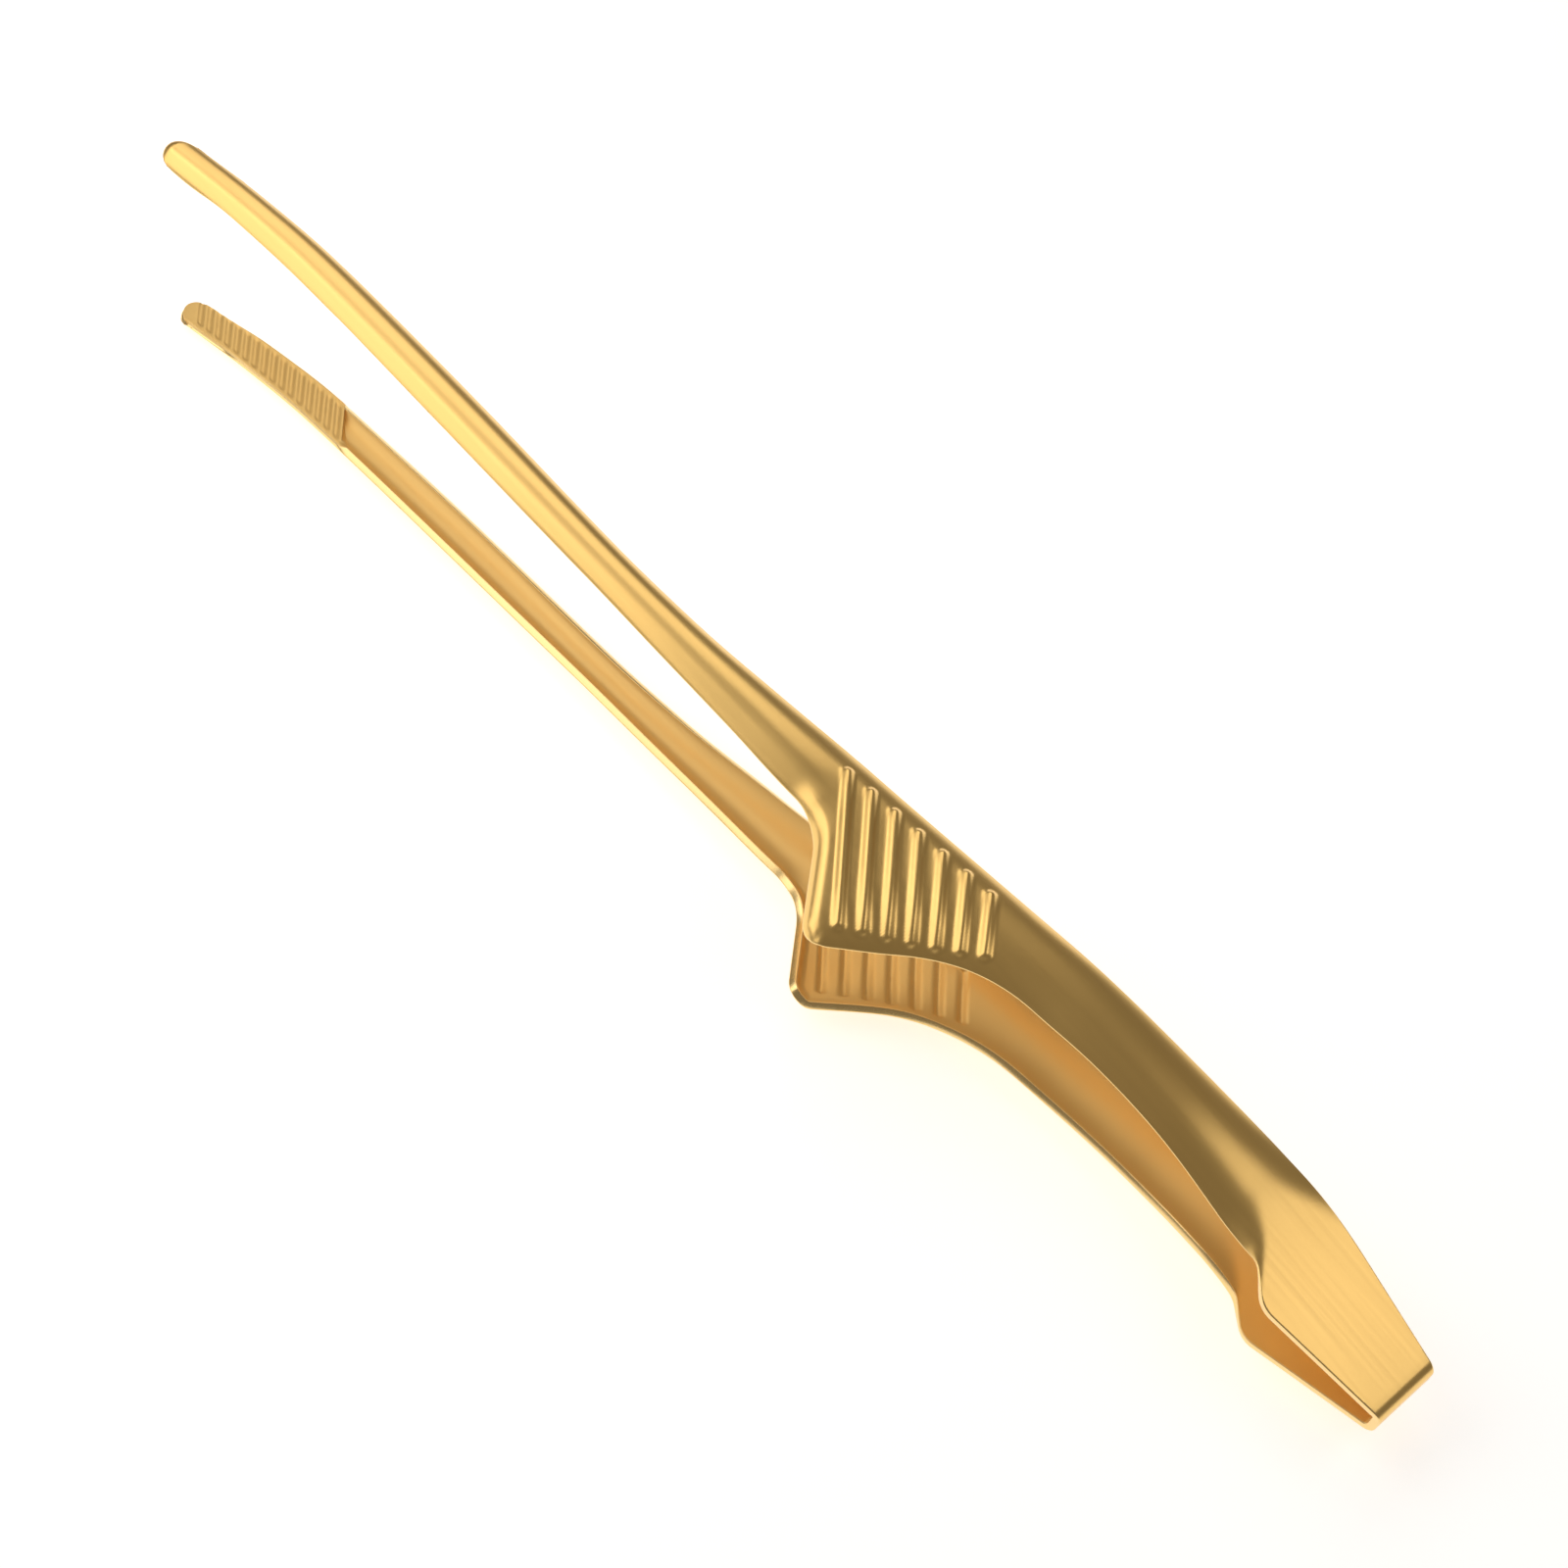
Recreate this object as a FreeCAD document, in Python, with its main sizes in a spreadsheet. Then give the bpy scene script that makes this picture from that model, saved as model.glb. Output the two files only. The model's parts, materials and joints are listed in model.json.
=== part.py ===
import FreeCAD, Part
import math
import os
import Sketcher

# Spring tongs stamped from one strip of steel, folded at the bow into two mirrored arms.
# Millimetres.  While the parts are formed the bow is at X = 0 and the tips point along -X,
# Y is across the strip (the feet stand out towards -Y) and Z = 0 is the closing plane between
# the arms.  "Reach" is the distance from the bow's back face towards the tips.  At the end the
# tongs are laid down on the lower arm, with the origin under the middle of the whole tool.

doc = FreeCAD.newDocument("IceTongs")
sizes = doc.addObject("Spreadsheet::Sheet", "Sizes")

# Driving dimensions: alias, value, meaning.
DIMENSIONS = [
    ("sheet", 1.2, "thickness of the strip"),
    ("bow_height", 4.9, "outside of the bow, between its corners"),
    ("bow_width", 10.2, "strip width at the bow"),
    ("bend_outside", 1.7, "outside radius of the two bends at the bow"),
    ("leg_angle", 10.0, "slope of each flat leg, degrees"),
    ("leg_top", 6.72, "upper edge of the leg where the arm starts to flex"),
    ("leg_bottom", -6.42, "lower edge of the leg where the arm starts to flex"),
    ("tool_height", 60.0, "height of every trimming tool"),
    ("rib_height", 0.6, "how far a finger rib stands out"),
    ("rib_root", 0.4, "how deep a rib is rooted in the strip"),
    ("rib_width", 2.1, "width of a finger rib"),
    ("recess_width", 1.2, "width of the hollow behind a rib"),
    ("recess_skin", 0.7, "metal over the hollow, from the outer face"),
    ("recess_below", 1.7, "depth of the hollow's cutter below the outer face"),
    ("rim_depth", 2.6, "depth of the turned-in front edge of the foot"),
    ("pad_depth", 2.35, "inner pad of the tip, below the crown's crest"),
    ("pad_margin", 0.35, "how far the pad's sides stand in from the edges of the strip"),
    ("tooth_pitch", 1.55, "spacing of the gripping teeth, square to them"),
    ("tooth_depth", 0.4, "depth of a tooth"),
    ("tooth_angle", 45.0, "slant of the teeth across the tip, the same as the ribs', degrees"),
    ("groove_count", 16, "number of grooves between the teeth"),
    ("teeth_reach", 207.3, "reach of the first groove on the tip's centre line"),
]

# Sections of the broad grip: reach, height and offset of the crown's crest, then the crown's
# radius and half width on the foot side and on the other side.
GRIP_SECTIONS = {
    "leg": (10.0, 4.21, 0.2, 400.0, 9.0, 400.0, 9.0),
    "kink": (17.0, 5.45, 0.5, 400.0, 9.5, 400.0, 9.5),
    "knuckle": (23.0, 6.5, 1.6, 30.0, 8.5, 30.0, 8.5),
    "shoulder": (30.0, 7.7, 2.6, 14.4, 7.6, 14.4, 7.4),
    "palm": (45.0, 9.95, 2.7, 9.1, 6.9, 9.1, 6.6),
    "waist": (62.0, 11.1, 2.2, 8.8, 7.2, 8.6, 6.4),
    "heel": (76.0, 11.35, 1.3, 17.8, 11.0, 7.1, 6.0),
    "foot": (91.0, 11.95, -0.2, 77.0, 21.5, 7.0, 6.0),
    "toe": (99.0, 12.5, -1.3, 45.0, 14.0, 7.1, 6.0),
    "gusset": (104.0, 12.85, -2.0, 16.0, 10.0, 7.3, 6.0),
    "throat": (108.0, 13.1, -2.6, 7.5, 5.1, 7.5, 5.1),
}
RIB_SECTIONS = ("waist", "heel", "foot", "toe", "gusset", "throat")

# Sections of the slender jaw: reach, height and offset of the crest, half width, drop of the
# crown from crest to edge.  The toothed pad fills the last four.
JAW_SECTIONS = {
    "taper": (120.0, 13.55, -3.4, 4.35, 1.95),
    "slim": (134.0, 14.1, -4.3, 3.65, 1.9),
    "shank": (150.0, 14.75, -4.85, 3.3, 1.8),
    "middle": (180.0, 16.2, -5.4, 3.37, 1.7),
    "neck": (200.0, 17.2, -5.95, 3.25, 1.6),
    "bite": (212.0, 17.8, -6.5, 3.17, 1.6),
    "dip": (226.0, 18.55, -8.05, 2.95, 1.5),
    "nose": (240.0, 19.15, -10.7, 2.8, 1.4),
}
PAD_SECTIONS = ("neck", "bite", "dip", "nose")

# Corners of the flat outlines: reach, offset across the strip, rounding radius (0 is sharp).
GRIP_OUTLINE = {
    "leg_high": (10.0, 6.72, 0.0),
    "back": (27.0, 9.5, 110.0),
    "waist_high": (72.0, 6.9, 150.0),
    "throat_high": (108.0, 2.6, 0.0),
    "throat_low": (108.0, -7.85, 0.0),
    "toe_low": (102.4, -7.6, 10.0),
    "foot_low": (90.9, -20.7, 3.5),
    "heel_low": (75.0, -4.6, 27.0),
    "palm_low": (47.0, -1.9, 130.0),
    "kink_high": (23.7, -4.2, 3.5),
    "kink_low": (19.1, -7.65, 4.0),
    "leg_low": (10.0, -6.42, 0.0),
}
RIM_OUTLINE = {
    "rim_foot": (91.9, -17.3, 0.0),
    "rim_throat": (103.0, -6.3, 0.0),
    "rim_throat_out": (104.4, -8.8, 0.0),
    "rim_foot_out": (93.0, -20.6, 0.0),
}
NOSE_OUTLINE = {
    "jaw_high_root": (100.0, 8.0, 0.0),
    "nose_high_root": (224.0, -3.2, 0.0),
    "nose_high": (240.0, -7.3, 2.6),
    "nose_low": (240.0, -13.3, 2.6),
    "nose_low_root": (224.0, -14.0, 0.0),
    "jaw_low_root": (100.0, -14.0, 0.0),
}
PAD_OUTLINE = {
    "pad_high_root": (211.0, -1.1, 0.0),
    "pad_high": (239.4, -7.2, 2.3),
    "pad_low": (239.4, -13.4, 2.3),
    "pad_low_root": (199.0, -13.1, 0.0),
}

# How closely the surfaces are sampled when the tool is laid down.
SURFACE_STEP = 0.02

# Centre lines of the finger ribs: both ends of the first rib and of the last one.
RIB_COUNT = 7
RIB_ENDS = {
    "first_rib_high": (104.7, -0.4),
    "first_rib_low": (89.6, -15.3),
    "last_rib_high": (80.1, 2.6),
    "last_rib_low": (74.6, -3.5),
}


def write_sheet():
    """Fill the sheet with plain numbers, each with its alias."""
    rows = list(DIMENSIONS)
    words_of = [
        (GRIP_SECTIONS, ("reach", "crest", "mid", "low_radius", "low_half", "high_radius",
                         "high_half")),
        (JAW_SECTIONS, ("reach", "crest", "mid", "half", "drop")),
        (GRIP_OUTLINE, ("along", "across", "rounding")),
        (RIM_OUTLINE, ("along", "across", "rounding")),
        (NOSE_OUTLINE, ("along", "across", "rounding")),
        (PAD_OUTLINE, ("along", "across", "rounding")),
        (RIB_ENDS, ("along", "across")),
    ]
    for table, words in words_of:
        for name, values in table.items():
            rows += [(name + "_" + word, value, name) for word, value in zip(words, values)]
    for row, (alias, value, meaning) in enumerate(rows, start=1):
        sizes.set("A" + str(row), meaning)
        sizes.set("B" + str(row), repr(value))
        sizes.setAlias("B" + str(row), alias)
    doc.recompute()


def value(expression):
    return float(sizes.evalExpression(expression))


def cell(prefix, word):
    return "Sizes." + prefix + "_" + word


def bind(sketch, constraint, expression):
    """Add a dimension to a sketch and tie it to the sheet."""
    index = sketch.addConstraint(constraint)
    name = "size" + str(index)
    sketch.renameConstraint(index, name)
    sketch.setExpression("Constraints." + name, expression)


def pin(sketch, geometry, pos, across, height):
    """Tie a point of a sketch to two expressions."""
    if across:
        bind(sketch, Sketcher.Constraint("DistanceX", -1, 1, geometry, pos, value(across)), across)
    if height:
        bind(sketch, Sketcher.Constraint("DistanceY", -1, 1, geometry, pos, value(height)), height)


def cross_sketch(name, reach):
    """Sketch across the strip at a given reach: its X is across, its Y is height."""
    sketch = doc.addObject("Sketcher::SketchObject", name)
    turn = FreeCAD.Rotation(FreeCAD.Vector(1, 1, 1), 120)
    sketch.Placement = FreeCAD.Placement(FreeCAD.Vector(-value(reach), 0, 0), turn)
    sketch.setExpression(".Placement.Base.x", "-" + reach)
    return sketch


def crown_arc(mid, crest, radius, half, low_side):
    """Arc from a crown's crest to its edge; the arc runs anticlockwise."""
    circle = Part.Circle(FreeCAD.Vector(mid, crest - radius, 0), FreeCAD.Vector(0, 0, 1), radius)
    spread = math.asin(half / radius)
    top = math.pi / 2
    if low_side:
        return Part.ArcOfCircle(circle, top, top + spread)
    return Part.ArcOfCircle(circle, top - spread, top)


def crown_section(name, reach, crest, mid, low, high, outer, inner):
    """Crowned strip section.  low and high are (radius, half width) expressions of the foot side
    and the other side; outer and inner are expressions of how far the two faces lie below the
    strip's outer face.  The ends stand square to the crown."""
    sketch = cross_sketch(name, reach)
    high_radius, low_radius = value(high[0]), value(low[0])
    high_half, low_half = value(high[1]), value(low[1])
    faces = []
    for below in (outer, inner):
        depth = value(below)
        top = value(crest) - depth
        high_share = (high_radius - depth) / high_radius
        low_share = (low_radius - depth) / low_radius
        high_arc = crown_arc(value(mid), top, high_radius - depth, high_half * high_share, False)
        low_arc = crown_arc(value(mid), top, low_radius - depth, low_half * low_share, True)
        faces.append((sketch.addGeometry(high_arc), sketch.addGeometry(low_arc)))
    ends = []
    for side, pos in ((1, 2), (0, 1)):
        start, end = [sketch.getPoint(face[side], pos) for face in faces]
        ends.append(sketch.addGeometry(Part.LineSegment(start, end)))
        sketch.addConstraint(Sketcher.Constraint("Coincident", faces[0][side], pos, ends[-1], 1))
        sketch.addConstraint(Sketcher.Constraint("Coincident", faces[1][side], pos, ends[-1], 2))
    for (high_arc, low_arc), below in zip(faces, (outer, inner)):
        sketch.addConstraint(Sketcher.Constraint("Coincident", high_arc, 2, low_arc, 1))
        pin(sketch, high_arc, 3, mid, crest + " - " + high[0])
        pin(sketch, low_arc, 3, mid, None)
        pin(sketch, high_arc, 2, mid, None)
        bind(sketch, Sketcher.Constraint("Radius", high_arc, high_radius - value(below)),
             high[0] + " - " + below)
        bind(sketch, Sketcher.Constraint("Radius", low_arc, low_radius - value(below)),
             low[0] + " - " + below)
        pin(sketch, high_arc, 1, "{0} + {1} * (1 - {2} / {3})".format(mid, high[1], below, high[0]), None)
        pin(sketch, low_arc, 2, "{0} - {1} * (1 - {2} / {3})".format(mid, low[1], below, low[0]), None)
    return sketch


def pad_section(name, prefix):
    """Section of the toothed pad: rooted in the middle of the strip, flat on its free side."""
    reach, crest, mid = [cell(prefix, word) for word in ("reach", "crest", "mid")]
    strip_radius = drop_radius(cell(prefix, "half"), cell(prefix, "drop"))
    radius = strip_radius + " - 0.5 * Sizes.sheet"
    half = cell(prefix, "half") + " - Sizes.pad_margin"
    root = crest + " - 0.5 * Sizes.sheet"
    sketch = cross_sketch(name, reach)
    arcs = []
    for low_side in (False, True):
        arc = crown_arc(value(mid), value(root), value(radius), value(half), low_side)
        arcs.append(sketch.addGeometry(arc))
    floor = crest + " - Sizes.pad_depth"
    corners = [sketch.getPoint(arcs[1], 2), sketch.getPoint(arcs[0], 1)]
    feet = [FreeCAD.Vector(corner.x, value(floor), 0) for corner in corners]
    path = [corners[0], feet[0], feet[1], corners[1]]
    lines = [sketch.addGeometry(Part.LineSegment(a, b)) for a, b in zip(path, path[1:])]
    chain = [(arcs[0], 2, arcs[1], 1), (arcs[1], 2, lines[0], 1), (lines[0], 2, lines[1], 1),
             (lines[1], 2, lines[2], 1), (lines[2], 2, arcs[0], 1)]
    for first, first_pos, second, second_pos in chain:
        sketch.addConstraint(Sketcher.Constraint("Coincident", first, first_pos, second, second_pos))
    sketch.addConstraint(Sketcher.Constraint("Vertical", lines[0]))
    sketch.addConstraint(Sketcher.Constraint("Horizontal", lines[1]))
    sketch.addConstraint(Sketcher.Constraint("Vertical", lines[2]))
    pin(sketch, arcs[0], 3, mid, crest + " - " + strip_radius)
    pin(sketch, arcs[1], 3, mid, None)
    pin(sketch, arcs[0], 2, mid, None)
    for side_arc in arcs:
        bind(sketch, Sketcher.Constraint("Radius", side_arc, value(radius)), radius)
    pin(sketch, arcs[0], 1, mid + " + " + half, None)
    pin(sketch, arcs[1], 2, mid + " - (" + half + ")", None)
    pin(sketch, lines[1], 1, None, floor)
    return sketch


def drop_radius(half, drop):
    """Radius of a crown from its half width and its drop."""
    return "(({0} ^ 2 + {1} ^ 2) / (2 * {1}))".format(half, drop)


def loft(name, sections):
    result = doc.addObject("Part::Loft", name)
    result.Sections = sections
    result.Solid = True
    return result


def grip_shell(name, outer, inner, prefixes):
    """Layer of the broad grip between two depths below the strip's outer face."""
    sections = []
    for prefix in prefixes:
        low = (cell(prefix, "low_radius"), cell(prefix, "low_half"))
        high = (cell(prefix, "high_radius"), cell(prefix, "high_half"))
        section = crown_section(name + "_" + prefix, cell(prefix, "reach"), cell(prefix, "crest"),
                                cell(prefix, "mid"), low, high, outer, inner)
        sections.append(section)
    return loft(name, sections)


def jaw_channel(name, throat):
    """Slender channel from the grip's throat section to the nose."""
    sections = [throat]
    for prefix in JAW_SECTIONS:
        half = cell(prefix, "half")
        side = (drop_radius(half, cell(prefix, "drop")), half)
        section = crown_section(name + "_" + prefix, cell(prefix, "reach"), cell(prefix, "crest"),
                                cell(prefix, "mid"), side, side, "0", "Sizes.sheet")
        sections.append(section)
    return loft(name, sections)


def plan_sketch(name):
    """Sketch on the closing plane."""
    return doc.addObject("Sketcher::SketchObject", name)


def sheet_corners(table):
    """Corners of an outline held in the sheet, as (along, across, rounding) expressions."""
    return [("-" + cell(name, "along"), cell(name, "across"), cell(name, "rounding")) for name in table]


def rounded_outline(sketch, corners):
    """Closed outline through corners given as expressions, rounded with tangent arcs."""
    points = [FreeCAD.Vector(value(along), value(across), 0) for along, across, _ in corners]
    radii = [value(rounding) for _, _, rounding in corners]
    trims = []
    for index, point in enumerate(points):
        before = (points[index - 1] - point).normalize()
        after = (points[(index + 1) % len(points)] - point).normalize()
        half_angle = before.getAngle(after) / 2
        reach = radii[index] / math.tan(half_angle)
        middle = point
        if radii[index]:
            gap = radii[index] / math.sin(half_angle) - radii[index]
            middle = point + (before + after).normalize() * gap
        trims.append((point + before * reach, middle, point + after * reach))
    marks = []
    for point, (along, across, _) in zip(points, corners):
        marks.append(sketch.addGeometry(Part.Point(point), True))
        pin(sketch, marks[-1], 1, along, across)
    sides = []
    for index in range(len(points)):
        following = trims[(index + 1) % len(points)]
        sides.append(sketch.addGeometry(Part.LineSegment(trims[index][2], following[0])))
    for index, (start, middle, end) in enumerate(trims):
        incoming, outgoing = sides[index - 1], sides[index]
        if not radii[index]:
            sketch.addConstraint(Sketcher.Constraint("Coincident", incoming, 2, outgoing, 1))
            sketch.addConstraint(Sketcher.Constraint("Coincident", outgoing, 1, marks[index], 1))
            continue
        arc = sketch.addGeometry(Part.Arc(start, middle, end))
        start_pos, end_pos = (1, 2)
        if sketch.getPoint(arc, 1).distanceToPoint(start) > sketch.getPoint(arc, 2).distanceToPoint(start):
            start_pos, end_pos = (2, 1)
        sketch.addConstraint(Sketcher.Constraint("PointOnObject", marks[index], 1, incoming))
        sketch.addConstraint(Sketcher.Constraint("PointOnObject", marks[index], 1, outgoing))
        sketch.addConstraint(Sketcher.Constraint("Tangent", incoming, 2, arc, start_pos))
        sketch.addConstraint(Sketcher.Constraint("Tangent", arc, end_pos, outgoing, 1))
        bind(sketch, Sketcher.Constraint("Radius", arc, radii[index]), corners[index][2])


def trimming_tool(name, sketch):
    """Upright prism of an outline, tall enough to pass through an arm."""
    prism = doc.addObject("Part::Extrusion", name)
    prism.Base = sketch
    prism.DirMode = "Custom"
    prism.Dir = FreeCAD.Vector(0, 0, 1)
    prism.Solid = True
    prism.setExpression("LengthFwd", "Sizes.tool_height")
    return prism


def rib_end(place, share):
    """Expressions of one end of a rib that stands at a share of the way from first to last."""
    mix = "(1 - {0}) * Sizes.first_rib_{1}_{2} + {0} * Sizes.last_rib_{1}_{2}"
    return ("-(" + mix.format(share, place, "along") + ")", mix.format(share, place, "across"))


def rib_slots(name, width):
    """Row of round-ended slots along the ribs' centre lines."""
    sketch = plan_sketch(name)
    for index in range(RIB_COUNT):
        share = "{0} / {1}".format(index, RIB_COUNT - 1)
        ends = [rib_end(place, "(" + share + ")") for place in ("high", "low")]
        high, low = [FreeCAD.Vector(value(end[0]), value(end[1]), 0) for end in ends]
        along = (low - high).normalize()
        across = FreeCAD.Vector(-along.y, along.x, 0) * value(width) / 2
        sides = [(high - across, low - across), (low + across, high + across)]
        caps = [(low - across, low + along * value(width) / 2, low + across),
                (high + across, high - along * value(width) / 2, high - across)]
        lines = [sketch.addGeometry(Part.LineSegment(*side)) for side in sides]
        arcs = [sketch.addGeometry(Part.Arc(*cap)) for cap in caps]
        for first, second in ((lines[0], arcs[0]), (lines[1], arcs[1])):
            sketch.addConstraint(Sketcher.Constraint("Tangent", first, 2, second, 1))
        for first, second in ((arcs[0], lines[1]), (arcs[1], lines[0])):
            sketch.addConstraint(Sketcher.Constraint("Tangent", first, 2, second, 1))
        bind(sketch, Sketcher.Constraint("Radius", arcs[0], value(width) / 2), width + " / 2")
        for cap, end in zip((arcs[1], arcs[0]), ends):
            pin(sketch, cap, 3, end[0], end[1])
    return sketch


def boolean(kind, name, base, tool):
    result = doc.addObject("Part::" + kind, name)
    result.Base = base
    result.Tool = tool
    return result


def union(name, shapes):
    result = doc.addObject("Part::MultiFuse", name)
    result.Shapes = shapes
    return result


def body_plane(body, role):
    return next(part for part in body.Origin.OriginFeatures if part.Role == role)


def attach(body, name, role):
    sketch = body.newObject("Sketcher::SketchObject", name)
    sketch.AttachmentSupport = [(body_plane(body, role), "")]
    sketch.MapMode = "FlatFace"
    return sketch


def spring_bow():
    """Folded end of the strip: a flat web, two tight bends and the roots of both legs."""
    body = doc.addObject("PartDesign::Body", "spring_bow")
    rise = "tan(Sizes.leg_angle * 1 deg)"
    outside = "(Sizes.bow_height / 2 + {0} * " + rise + ")"
    inside = "(" + outside + " - Sizes.sheet / cos(Sizes.leg_angle * 1 deg))"
    end, web, sharp = "Sizes.leg_reach", "Sizes.sheet", "0"
    corners = [
        ("-" + end, outside.format(end), sharp),
        (sharp, outside.format("0"), "Sizes.bend_outside"),
        (sharp, "-" + outside.format("0"), "Sizes.bend_outside"),
        ("-" + end, "-" + outside.format(end), sharp),
        ("-" + end, "-" + inside.format(end), sharp),
        ("-" + web, "-" + inside.format(web), "Sizes.bend_outside - Sizes.sheet"),
        ("-" + web, inside.format(web), "Sizes.bend_outside - Sizes.sheet"),
        ("-" + end, inside.format(end), sharp),
    ]
    profile = attach(body, "bow_profile", "XZ_Plane")
    rounded_outline(profile, corners)
    pad = body.newObject("PartDesign::Pad", "bow_strip")
    pad.Profile = profile
    pad.Midplane = True
    pad.setExpression("Length", "Sizes.bow_width * 2")
    taper = attach(body, "bow_taper", "XY_Plane")
    half = "Sizes.bow_width / 2"
    rounded_outline(taper, [
        (sharp, half, sharp),
        ("-" + end, "Sizes.leg_top", sharp),
        ("-" + end, "Sizes.leg_bottom", sharp),
        (sharp, "-" + half, sharp),
    ])
    rounded_outline(taper, [
        ("Sizes.sheet", "Sizes.bow_width * 2", sharp),
        ("-2 * " + end, "Sizes.bow_width * 2", sharp),
        ("-2 * " + end, "-Sizes.bow_width * 2", sharp),
        ("Sizes.sheet", "-Sizes.bow_width * 2", sharp),
    ])
    cut = body.newObject("PartDesign::Pocket", "bow_taper_cut")
    cut.Profile = taper
    cut.Type = "ThroughAll"
    cut.Midplane = True
    body.Tip = cut
    return body


def tooth_cutter():
    """Comb that cuts the gripping grooves: a plate clear of the pad, with one ridge a groove."""
    body = doc.addObject("PartDesign::Body", "tooth_cutter")
    profile = attach(body, "ridge_profile", "XZ_Plane")
    side, clear, sharp = "0.46 * Sizes.tooth_pitch", "-Sizes.tooth_depth", "0"
    rounded_outline(profile, [
        (side, "2 * " + clear, sharp),
        (side, sharp, sharp),
        (sharp, "Sizes.tooth_depth", sharp),
        ("-" + side, sharp, sharp),
        ("-" + side, "2 * " + clear, sharp),
    ])
    ridge = body.newObject("PartDesign::Pad", "ridge")
    ridge.Profile = profile
    ridge.Midplane = True
    ridge.setExpression("Length", "Sizes.tool_height")
    comb = body.newObject("PartDesign::LinearPattern", "comb")
    comb.Originals = [ridge]
    comb.Direction = (profile, ["H_Axis"])
    comb.Reversed = True
    comb.setExpression("Length", "Sizes.tooth_pitch * (Sizes.groove_count - 1)")
    comb.setExpression("Occurrences", "Sizes.groove_count")
    body.Tip = comb
    back = attach(body, "plate_profile", "XZ_Plane")
    rounded_outline(back, [
        ("Sizes.tooth_pitch", clear, sharp),
        ("-Sizes.tooth_pitch * Sizes.groove_count", clear, sharp),
        ("-Sizes.tooth_pitch * Sizes.groove_count", "3 * " + clear, sharp),
        ("Sizes.tooth_pitch", "3 * " + clear, sharp),
    ])
    plate = body.newObject("PartDesign::Pad", "plate")
    plate.Profile = back
    plate.Midplane = True
    plate.setExpression("Length", "Sizes.tool_height")
    body.Tip = plate
    root, tip = PAD_SECTIONS[0], PAD_SECTIONS[-1]
    run = value(cell(tip, "reach")) - value(cell(root, "reach"))
    slope = (value(cell(tip, "crest")) - value(cell(root, "crest"))) / run
    start = value("Sizes.teeth_reach")
    rise = slope * (start - value(cell(root, "reach")))
    height = value(cell(root, "crest") + " - Sizes.pad_depth") + rise
    slant = FreeCAD.Rotation(FreeCAD.Vector(0, 0, 1), value("Sizes.tooth_angle"))
    incline = FreeCAD.Rotation(FreeCAD.Vector(0, 1, 0), math.degrees(math.atan(slope)))
    base = FreeCAD.Vector(-start, value(cell("bite", "mid")), height)
    body.Placement = FreeCAD.Placement(base, incline * slant)
    return body


def upper_arm():
    """One arm: broad crowned grip with its foot and ribs, slender channel, toothed tip."""
    outline = plan_sketch("grip_outline")
    rounded_outline(outline, sheet_corners(GRIP_OUTLINE))
    grip_tool = trimming_tool("grip_tool", outline)
    blank = grip_shell("grip_blank", "0", "Sizes.sheet", GRIP_SECTIONS)
    grip = boolean("Common", "grip", blank, grip_tool)

    rib_layer = grip_shell("rib_layer", "-Sizes.rib_height", "Sizes.rib_root", RIB_SECTIONS)
    rib_tool = trimming_tool("rib_tool", rib_slots("rib_slots", "Sizes.rib_width"))
    ribs = boolean("Common", "ribs", rib_layer, rib_tool)
    hollow_layer = grip_shell("hollow_layer", "Sizes.recess_skin", "Sizes.recess_below", RIB_SECTIONS)
    hollow_tool = trimming_tool("hollow_tool", rib_slots("hollow_slots", "Sizes.recess_width"))
    hollows = boolean("Common", "hollows", hollow_layer, hollow_tool)

    rim_sketch = plan_sketch("rim_outline")
    rounded_outline(rim_sketch, sheet_corners(RIM_OUTLINE))
    rim_layer = grip_shell("rim_layer", "0.2 * Sizes.sheet", "Sizes.rim_depth", RIB_SECTIONS)
    rim_band = boolean("Common", "rim_band", rim_layer, trimming_tool("rim_tool", rim_sketch))
    rim = boolean("Common", "rim", rim_band, grip_tool)

    channel = jaw_channel("jaw_channel", blank.Sections[-1])
    nose_sketch = plan_sketch("nose_outline")
    rounded_outline(nose_sketch, sheet_corners(NOSE_OUTLINE))
    jaw = boolean("Common", "jaw", channel, trimming_tool("nose_tool", nose_sketch))
    filler = loft("filler", [pad_section("filler_" + prefix, prefix) for prefix in PAD_SECTIONS])
    pad_sketch = plan_sketch("pad_outline")
    rounded_outline(pad_sketch, sheet_corners(PAD_OUTLINE))
    pad = boolean("Common", "pad", filler, trimming_tool("pad_tool", pad_sketch))

    formed = union("formed_arm", [grip, jaw, pad, ribs, rim])
    embossed = boolean("Cut", "embossed_arm", formed, hollows)
    return boolean("Cut", "upper_arm", embossed, tooth_cutter())


def mirrored_arm(arm):
    """The other half of the folded strip is the first one's mirror image."""
    lower = doc.addObject("Part::Mirroring", "lower_arm")
    lower.Source = arm
    lower.Normal = FreeCAD.Vector(0, 0, 1)
    return lower


def laid_down(bow, arm):
    """Placement that lays the tongs on the lower arm, resting on its nose and on the finger rib
    that stands out furthest, with the origin under the middle of the whole tool."""
    upper_points = arm.Shape.tessellate(SURFACE_STEP)[0]
    nose = max(upper_points, key=lambda point: point.z)
    grip_points = [point for point in upper_points if point.x > nose.x / 2]
    slope = min((nose.z - point.z) / (point.x - nose.x) for point in grip_points)
    turn = FreeCAD.Rotation(FreeCAD.Vector(0, 1, 0), math.degrees(math.atan(slope)))
    lower_points = [FreeCAD.Vector(point.x, point.y, -point.z) for point in upper_points]
    bow_points = bow.Shape.tessellate(SURFACE_STEP)[0]
    laid = [turn.multVec(point) for point in upper_points + lower_points + bow_points]
    along, across, heights = [[point[axis] for point in laid] for axis in range(3)]
    middle_along = (min(along) + max(along)) / 2
    middle_across = (min(across) + max(across)) / 2
    return FreeCAD.Placement(FreeCAD.Vector(-middle_along, -middle_across, -min(heights)), turn)


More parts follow.
